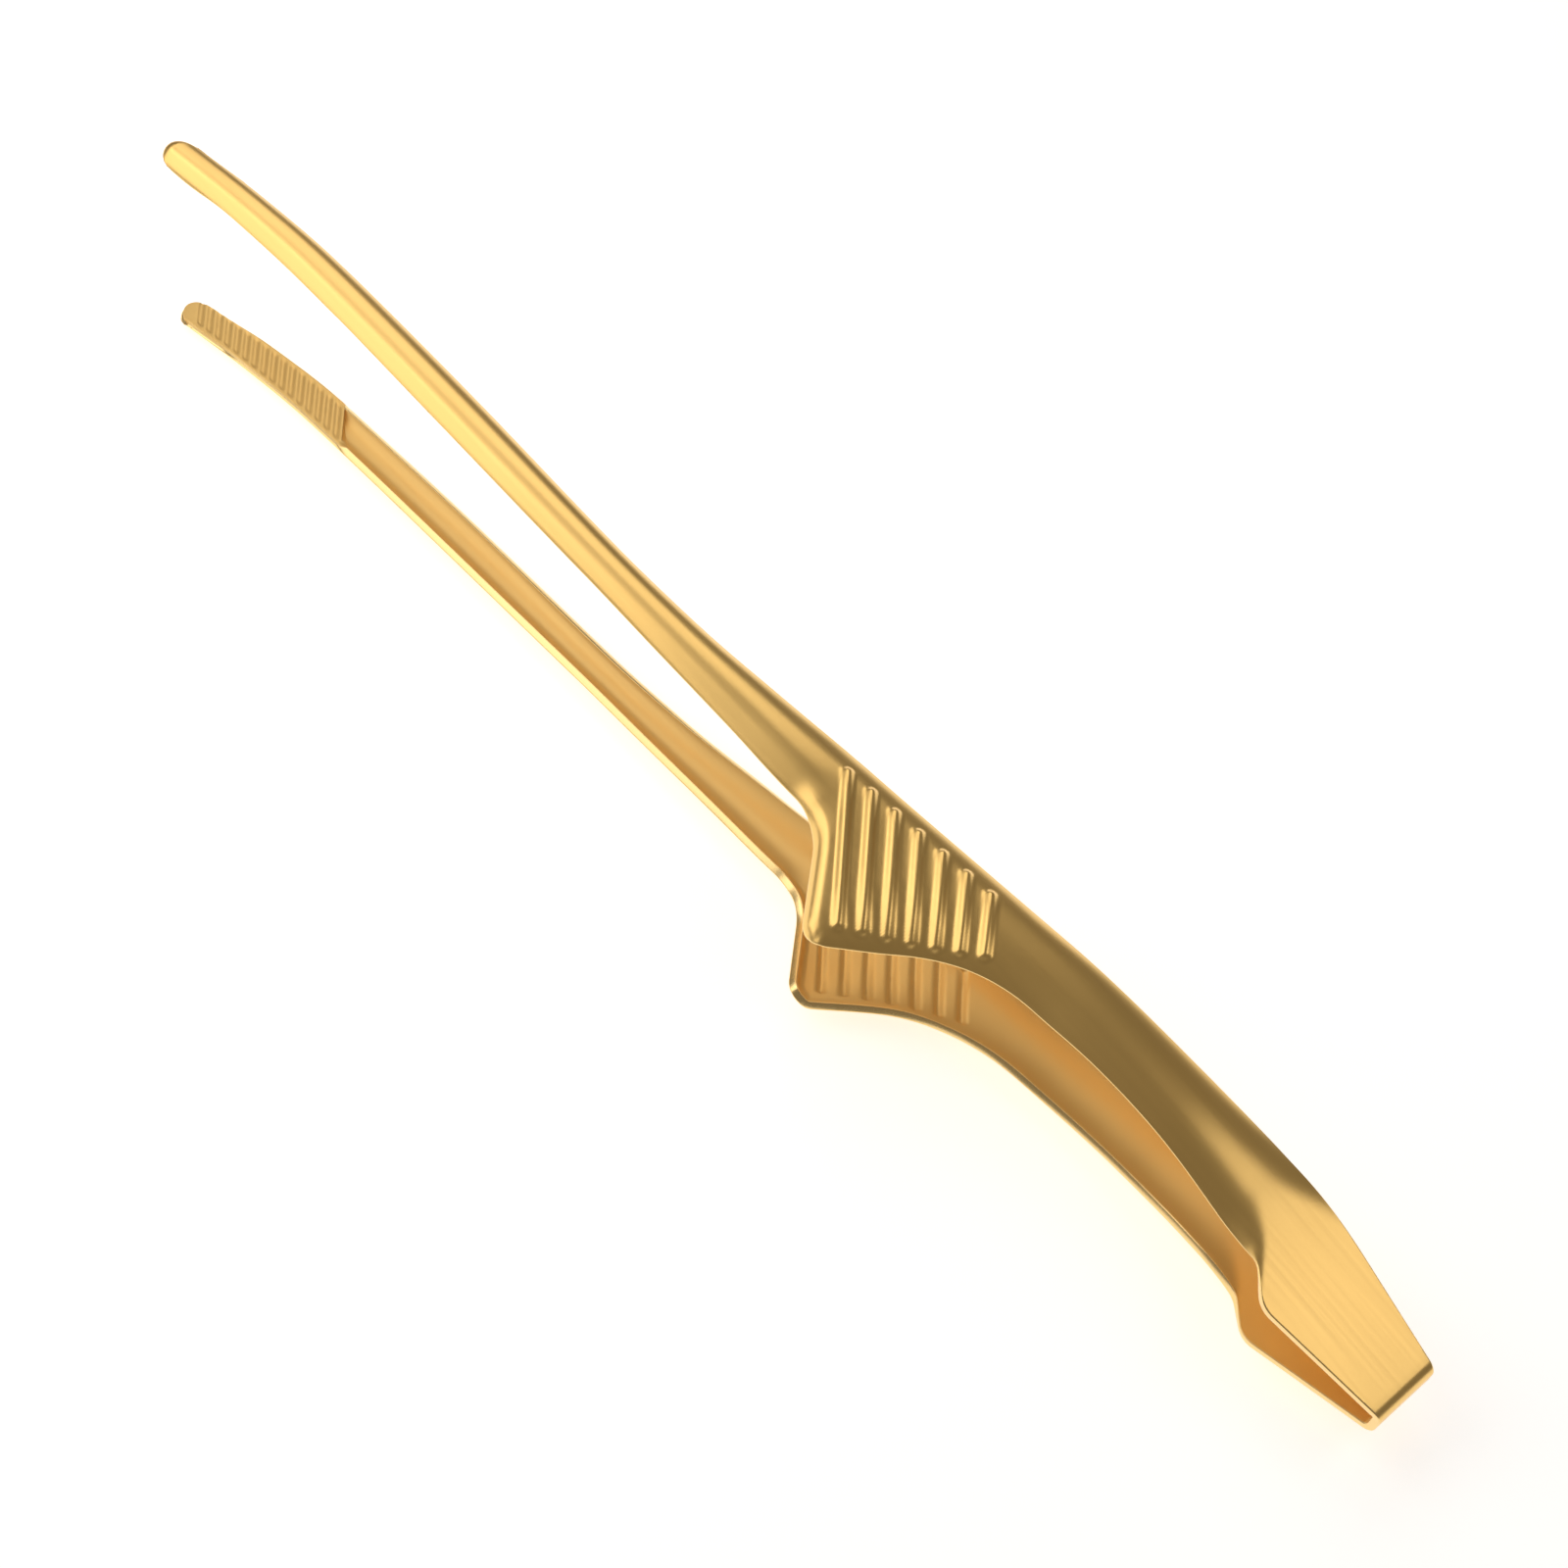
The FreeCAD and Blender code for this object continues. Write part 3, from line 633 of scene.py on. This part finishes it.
def new_group(name, inputs, outputs):
    """Node group with sockets given as (name, type, default)."""
    group = bpy.data.node_groups.new(name, "ShaderNodeTree")
    for label, kind, value in inputs:
        socket = group.interface.new_socket(name=label, in_out="INPUT", socket_type=kind)
        socket.default_value = value
    for label, kind in outputs:
        group.interface.new_socket(name=label, in_out="OUTPUT", socket_type=kind)
    start = group.nodes.new("NodeGroupInput")
    end = group.nodes.new("NodeGroupOutput")
    start.location, end.location = (-900, 0), (700, 0)
    return group, start, end


def node(tree, kind, place, **settings):
    """Shader node with its settings."""
    item = tree.nodes.new(kind)
    item.location = place
    for name, value in settings.items():
        setattr(item, name, value)
    return item


def math_node(tree, operation, place, first, second):
    """Math node whose two inputs are each a number or a socket."""
    item = node(tree, "ShaderNodeMath", place, operation=operation)
    for index, source in enumerate((first, second)):
        if isinstance(source, (int, float)):
            item.inputs[index].default_value = source
        else:
            tree.links.new(source, item.inputs[index])
    return item.outputs[0]


def brushing_group():
    """Fine lines left by brushing the strip lengthwise: height and gloss change."""
    group, start, end = new_group(
        "lengthwise brushing",
        [("Along", "NodeSocketFloat", 1.2), ("Across", "NodeSocketFloat", 60.0)],
        [("Height", "NodeSocketFloat"), ("Gloss", "NodeSocketFloat")],
    )
    uv = node(group, "ShaderNodeUVMap", (-900, 200), uv_map="strip")
    scale = node(group, "ShaderNodeCombineXYZ", (-700, 0))
    group.links.new(start.outputs["Along"], scale.inputs["X"])
    group.links.new(start.outputs["Across"], scale.inputs["Y"])
    stretched = node(group, "ShaderNodeVectorMath", (-500, 100), operation="MULTIPLY")
    group.links.new(uv.outputs["UV"], stretched.inputs[0])
    group.links.new(scale.outputs["Vector"], stretched.inputs[1])
    lines = node(group, "ShaderNodeTexNoise", (-300, 200))
    lines.inputs["Scale"].default_value = 1.0
    lines.inputs["Detail"].default_value = 4.0
    lines.inputs["Roughness"].default_value = 0.6
    group.links.new(stretched.outputs["Vector"], lines.inputs["Vector"])
    bands = node(group, "ShaderNodeTexNoise", (-300, -100))
    bands.inputs["Scale"].default_value = 0.23
    bands.inputs["Detail"].default_value = 2.0
    group.links.new(stretched.outputs["Vector"], bands.inputs["Vector"])
    group.links.new(lines.outputs["Fac"], end.inputs["Height"])
    gloss = math_node(group, "SUBTRACT", (100, -100), bands.outputs["Fac"], 0.5)
    group.links.new(gloss, end.inputs["Gloss"])
    return group


def drift_group():
    """Slow change of the coating's tint over the strip, with small specks: two masks."""
    group, start, end = new_group(
        "coating drift",
        [("Patch Scale", "NodeSocketFloat", 45.0), ("Speck Scale", "NodeSocketFloat", 2600.0)],
        [("Patches", "NodeSocketFloat"), ("Specks", "NodeSocketFloat")],
    )
    place = node(group, "ShaderNodeTexCoord", (-900, 200))
    patches = node(group, "ShaderNodeTexNoise", (-400, 200))
    patches.inputs["Detail"].default_value = 3.0
    group.links.new(place.outputs["Object"], patches.inputs["Vector"])
    group.links.new(start.outputs["Patch Scale"], patches.inputs["Scale"])
    specks = node(group, "ShaderNodeTexNoise", (-400, -100))
    specks.inputs["Detail"].default_value = 1.0
    group.links.new(place.outputs["Object"], specks.inputs["Vector"])
    group.links.new(start.outputs["Speck Scale"], specks.inputs["Scale"])
    group.links.new(patches.outputs["Fac"], end.inputs["Patches"])
    group.links.new(specks.outputs["Fac"], end.inputs["Specks"])
    return group


def gold_material(name, finish, roughness, metallic):
    """Satin gold coating over brushed steel, glossier at the deburred edge and lighter there, a
    painted highlight.
    """
    material = bpy.data.materials.new(name)
    material.use_nodes = True
    tree = material.node_tree
    shader = tree.nodes["Principled BSDF"]
    shader.inputs["Metallic"].default_value = metallic
    groups = bpy.data.node_groups
    brushing = node(
        tree, "ShaderNodeGroup", (-900, -200), node_tree=groups["lengthwise brushing"])
    drift = node(tree, "ShaderNodeGroup", (-900, 200), node_tree=groups["coating drift"])
    edge = node(tree, "ShaderNodeAttribute", (-900, 0), attribute_name="edge")

    tint = node(tree, "ShaderNodeMix", (-500, 300), data_type="RGBA")
    tint.inputs["A"].default_value = (*finish.gold, 1)
    tint.inputs["B"].default_value = (*finish.amber, 1)
    share = math_node(tree, "MULTIPLY", (-700, 300), drift.outputs["Patches"], finish.drift)
    tree.links.new(share, tint.inputs["Factor"])
    # The edge mask mixes in the paler edge colour, a painted highlight along the rounded edges.
    pale = node(tree, "ShaderNodeMix", (-250, 300), data_type="RGBA")
    pale.inputs["B"].default_value = (*finish.edge, 1)
    edge_highlight_share = math_node(tree, "MULTIPLY", (-450, 50), edge.outputs["Fac"], EDGE_HIGHLIGHT_TINT)
    tree.links.new(edge_highlight_share, pale.inputs["Factor"])
    tree.links.new(tint.outputs["Result"], pale.inputs["A"])
    tree.links.new(pale.outputs["Result"], shader.inputs["Base Color"])

    change = math_node(tree, "MULTIPLY", (-650, -150), brushing.outputs["Gloss"], GLOSS_CHANGE)
    satin = math_node(tree, "ADD", (-450, -150), change, roughness)
    polish = math_node(tree, "MULTIPLY", (-450, -300), edge.outputs["Fac"], EDGE_POLISH)
    rough = math_node(tree, "ADD", (-250, -150), satin, polish)
    tree.links.new(rough, shader.inputs["Roughness"])

    specks = math_node(tree, "MULTIPLY", (-650, -450), drift.outputs["Specks"], SPECK_SHARE)
    relief = math_node(tree, "ADD", (-450, -450), brushing.outputs["Height"], specks)
    bump = node(tree, "ShaderNodeBump", (-200, -450))
    bump.inputs["Strength"].default_value = finish.brushing
    bump.inputs["Distance"].default_value = RELIEF
    tree.links.new(relief, bump.inputs["Height"])
    tree.links.new(bump.outputs["Normal"], shader.inputs["Normal"])
    return material


def floor_material(studio):
    """Plain pale tabletop."""
    material = bpy.data.materials.new("pale_floor")
    material.use_nodes = True
    tree = material.node_tree
    shader = tree.nodes["Principled BSDF"]
    shader.inputs["Roughness"].default_value = 0.9
    shader.inputs["Base Color"].default_value = (*studio.floor, 1)
    shader.inputs["Emission Color"].default_value = (*studio.floor, 1)
    shader.inputs["Emission Strength"].default_value = studio.floor_glow
    return material


# ----------------------------------------------------------------------------------- stage


PANELS = [
    # name, point it faces and direction from there in the forming frame, distance,
    # width along the tongs, height, strength
    ("leg_panel", (-13, 0, 4.5), (0.235, 0.435, 0.870), 220, 75, 130, 1.25),
    ("crest_panel", (-185, 0, 16), (-0.43, 0.52, 0.74), 320, 270, 240, 1.1),
    ("jaw_panel", (-185, 0, 16), (-0.50, -0.05, 0.86), 320, 270, 150, 0.68),
    ("foot_side_panel", (-185, 0, 16), (-0.50, -0.60, 0.63), 360, 300, 420, 1.3),
]
# The camera's place and its sideways and upward directions, in the forming frame.
CAMERA_PLACE = (13.75, -162.57, 340.2)
CAMERA_RIGHT = (0.6584, 0.7452, 0.1054)
CAMERA_UP = (-0.6812, 0.5305, 0.5045)
CAMERA_LENS = 67.5
# Half the floor's width in metres.
FLOOR_HALF = 3.0


def add_panel(name, target, direction, distance, width, height, strength, studio):
    """Soft panel light that faces a point of the tongs, its width along them."""
    light = bpy.data.lights.new(name, "AREA")
    light.shape = "RECTANGLE"
    light.size, light.size_y = width * MM, height * MM
    light.energy = strength * studio.panel_power * light.size * light.size_y
    light.color = studio.light
    panel = bpy.data.objects.new(name, light)
    turn = laid_matrix().to_3x3().normalized()
    away = (turn @ Vector(direction)).normalized()
    along = turn @ Vector((1, 0, 0))
    along = (along - away * along.dot(away)).normalized()
    pose = Matrix((along, away.cross(along), away)).transposed().to_4x4()
    pose.translation = laid_point(*target) + away * distance * MM
    panel.matrix_world = pose
    bpy.context.collection.objects.link(panel)


def add_camera():
    """Camera that looks down on the tongs from the finger rests' side."""
    data = bpy.data.cameras.new("view_camera")
    data.lens = CAMERA_LENS
    data.sensor_width = 36
    data.clip_start = 0.01
    camera = bpy.data.objects.new("view_camera", data)
    turn = laid_matrix().to_3x3().normalized()
    right, up = turn @ Vector(CAMERA_RIGHT), turn @ Vector(CAMERA_UP)
    back = right.cross(up)
    pose = Matrix((right, up, back)).transposed().to_4x4()
    pose.translation = laid_point(*CAMERA_PLACE)
    camera.matrix_world = pose
    bpy.context.collection.objects.link(camera)
    bpy.context.scene.camera = camera


# --------------------------------------------------------------------------------- add-on


class TongsStrip(bpy.types.PropertyGroup):
    """Sizes of the strip and of what is pressed into it."""

    sheet: FloatProperty(
        name="Sheet", description="Thickness of the strip", default=0.0012, min=0.0005,
        unit="LENGTH")
    edge_round: FloatProperty(
        name="Edge Rounding", description="Rounding of the deburred edges", default=0.0002,
        min=0.00005, unit="LENGTH")
    rib_count: IntProperty(
        name="Ribs", description="Number of finger ribs on each arm", default=7, min=2)
    rib_width: FloatProperty(
        name="Rib Width", description="Width of a finger rib", default=0.0021, unit="LENGTH")
    rib_height: FloatProperty(
        name="Rib Height", description="How far a rib stands out", default=0.0006, unit="LENGTH")
    groove_count: IntProperty(
        name="Grooves", description="Number of slanted grooves in each tip", default=16, min=1)
    tooth_depth: FloatProperty(
        name="Tooth Depth", description="Depth of the grooves in the tip", default=0.00025,
        unit="LENGTH")


class TongsFinish(bpy.types.PropertyGroup):
    """Colours and gloss of the gold coating."""

    gold: FloatVectorProperty(
        name="Gold", description="Main colour of the coating", subtype="COLOR",
        default=(0.95, 0.635, 0.225), min=0, max=1)
    amber: FloatVectorProperty(
        name="Amber", description="Deeper colour that the coating drifts towards",
        subtype="COLOR", default=(0.91, 0.56, 0.17), min=0, max=1)
    # The edge colour is a painted highlight along the rounded edges.
    edge: FloatVectorProperty(
        name="Edge", description="Paler colour of the deburred edges", subtype="COLOR",
        default=(1.0, 0.76, 0.38), min=0, max=1)
    roughness: FloatProperty(
        name="Roughness", description="Roughness of the satin surface", default=0.3,
        min=0, max=1, subtype="FACTOR")
    inside_roughness: FloatProperty(
        name="Inside Roughness", description="Roughness of the inner face, which is left duller",
        default=0.45, min=0, max=1, subtype="FACTOR")
    inside_metallic: FloatProperty(
        name="Inside Metallic", description="How far the duller inner face still mirrors",
        default=0.6, min=0, max=1, subtype="FACTOR")
    brushing: FloatProperty(
        name="Brushing", description="Strength of the lengthwise brushing", default=0.25,
        min=0, max=1, subtype="FACTOR")
    drift: FloatProperty(
        name="Tint Drift", description="How much the coating's tint changes", default=0.6,
        min=0, max=1, subtype="FACTOR")


class TongsStudio(bpy.types.PropertyGroup):
    """Floor and lights."""

    floor: FloatVectorProperty(
        name="Floor", description="Colour of the floor", subtype="COLOR",
        default=(0.9, 0.9, 0.9), min=0, max=1)
    floor_glow: FloatProperty(
        name="Floor Glow", description="How much the white floor lights up by itself",
        default=0.7, min=0)
    light: FloatVectorProperty(
        name="Light", description="Colour of the panels", subtype="COLOR",
        default=(1.0, 0.98, 0.95), min=0, max=1)
    panel_power: FloatProperty(
        name="Panel Power", description="Power of a panel per square metre", default=math.pi, min=0)
    room: FloatVectorProperty(
        name="Room", description="Colour of the dim room around the panels", subtype="COLOR",
        default=(1.0, 0.92, 0.8), min=0, max=1)
    surround: FloatProperty(
        name="Surround", description="Brightness of the room", default=0.2, min=0)


class TONGS_OT_finish(bpy.types.Operator):
    """Make the satin gold material"""

    bl_idname = "tongs.finish"
    bl_label = "Gold Finish"

    def execute(self, context):
        finish = context.scene.tongs_finish
        brushing_group()
        drift_group()
        gold_material(OUTSIDE, finish, finish.roughness, 1.0)
        gold_material(INSIDE, finish, finish.inside_roughness, finish.inside_metallic)
        return {"FINISHED"}


def gold():
    """Materials of the strip's outer and inner faces."""
    if INSIDE not in bpy.data.materials:
        raise RuntimeError("make the gold finish first")
    return [bpy.data.materials[OUTSIDE], bpy.data.materials[INSIDE]]


class TONGS_OT_bow(bpy.types.Operator):
    """Make the folded end of the strip"""

    bl_idname = "tongs.bow"
    bl_label = "Folded Bow"

    def execute(self, context):
        mesh = formed_bow(context.scene.tongs_strip)
        laid_down(mesh, False)
        piece = add_piece("bow_strip", mesh, gold())
        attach(piece, "spring_bow")
        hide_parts("spring_bow")
        return {"FINISHED"}


class TONGS_OT_arms(bpy.types.Operator):
    """Make both arms, each the mirror image of the other"""

    bl_idname = "tongs.arms"
    bl_label = "Arms"

    def execute(self, context):
        for body, side in (("upper_arm", 1), ("lower_arm", -1)):
            mesh = formed_arm(context.scene.tongs_strip)
            laid_down(mesh, side < 0)
            piece = add_piece(body + "_strip", mesh, gold())
            start = laid_point(-BEND_START, 0, side * HEIGHT(BEND_START))
            end = laid_point(-BEND_END, 0, side * HEIGHT(BEND_END))
            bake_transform(piece)
            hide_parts(body)
        return {"FINISHED"}


class TONGS_OT_stage(bpy.types.Operator):
    """Make the floor, the soft lights and the camera"""

    bl_idname = "tongs.stage"
    bl_label = "Stage"

    def execute(self, context):
        studio = context.scene.tongs_studio
        mesh = bmesh.new()
        bmesh.ops.create_grid(mesh, x_segments=1, y_segments=1, size=FLOOR_HALF)
        floor = add_piece("floor", mesh, [floor_material(studio)])
        for panel in PANELS:
            add_panel(*panel, studio)
        world = bpy.data.worlds.new("room")
        world.use_nodes = True
        background = world.node_tree.nodes["Background"]
        background.inputs["Color"].default_value = (*studio.room, 1)
        background.inputs["Strength"].default_value = studio.surround
        context.scene.world = world
        context.scene.view_settings.view_transform = "Standard"
        add_camera()
        return {"FINISHED"}


class TONGS_PT_panel(bpy.types.Panel):
    """Lists the steps that make the tongs"""

    bl_idname = "TONGS_PT_panel"
    bl_label = "Ice Tongs"
    bl_space_type = "VIEW_3D"
    bl_region_type = "UI"
    bl_category = "Tongs"

    def draw(self, context):
        for group in ("tongs_strip", "tongs_finish", "tongs_studio"):
            box = self.layout.box()
            settings = getattr(context.scene, group)
            for name in settings.bl_rna.properties.keys():
                if name not in ("rna_type", "name"):
                    box.prop(settings, name)
        for operator in OPERATORS:
            self.layout.operator(operator.bl_idname)


OPERATORS = (TONGS_OT_finish, TONGS_OT_bow, TONGS_OT_arms, TONGS_OT_stage)
CLASSES = (TongsStrip, TongsFinish, TongsStudio) + OPERATORS + (TONGS_PT_panel,)


def register():
    for item in CLASSES:
        bpy.utils.register_class(item)
    bpy.types.Scene.tongs_strip = PointerProperty(type=TongsStrip)
    bpy.types.Scene.tongs_finish = PointerProperty(type=TongsFinish)
    bpy.types.Scene.tongs_studio = PointerProperty(type=TongsStudio)


def unregister():
    del bpy.types.Scene.tongs_strip
    del bpy.types.Scene.tongs_finish
    del bpy.types.Scene.tongs_studio
    for item in reversed(CLASSES):
        bpy.utils.unregister_class(item)


def main():
    register()
    bpy.ops.tongs.finish()
    bpy.ops.tongs.bow()
    bpy.ops.tongs.arms()
    bpy.ops.tongs.stage()


if __name__ == "__main__":
    main()
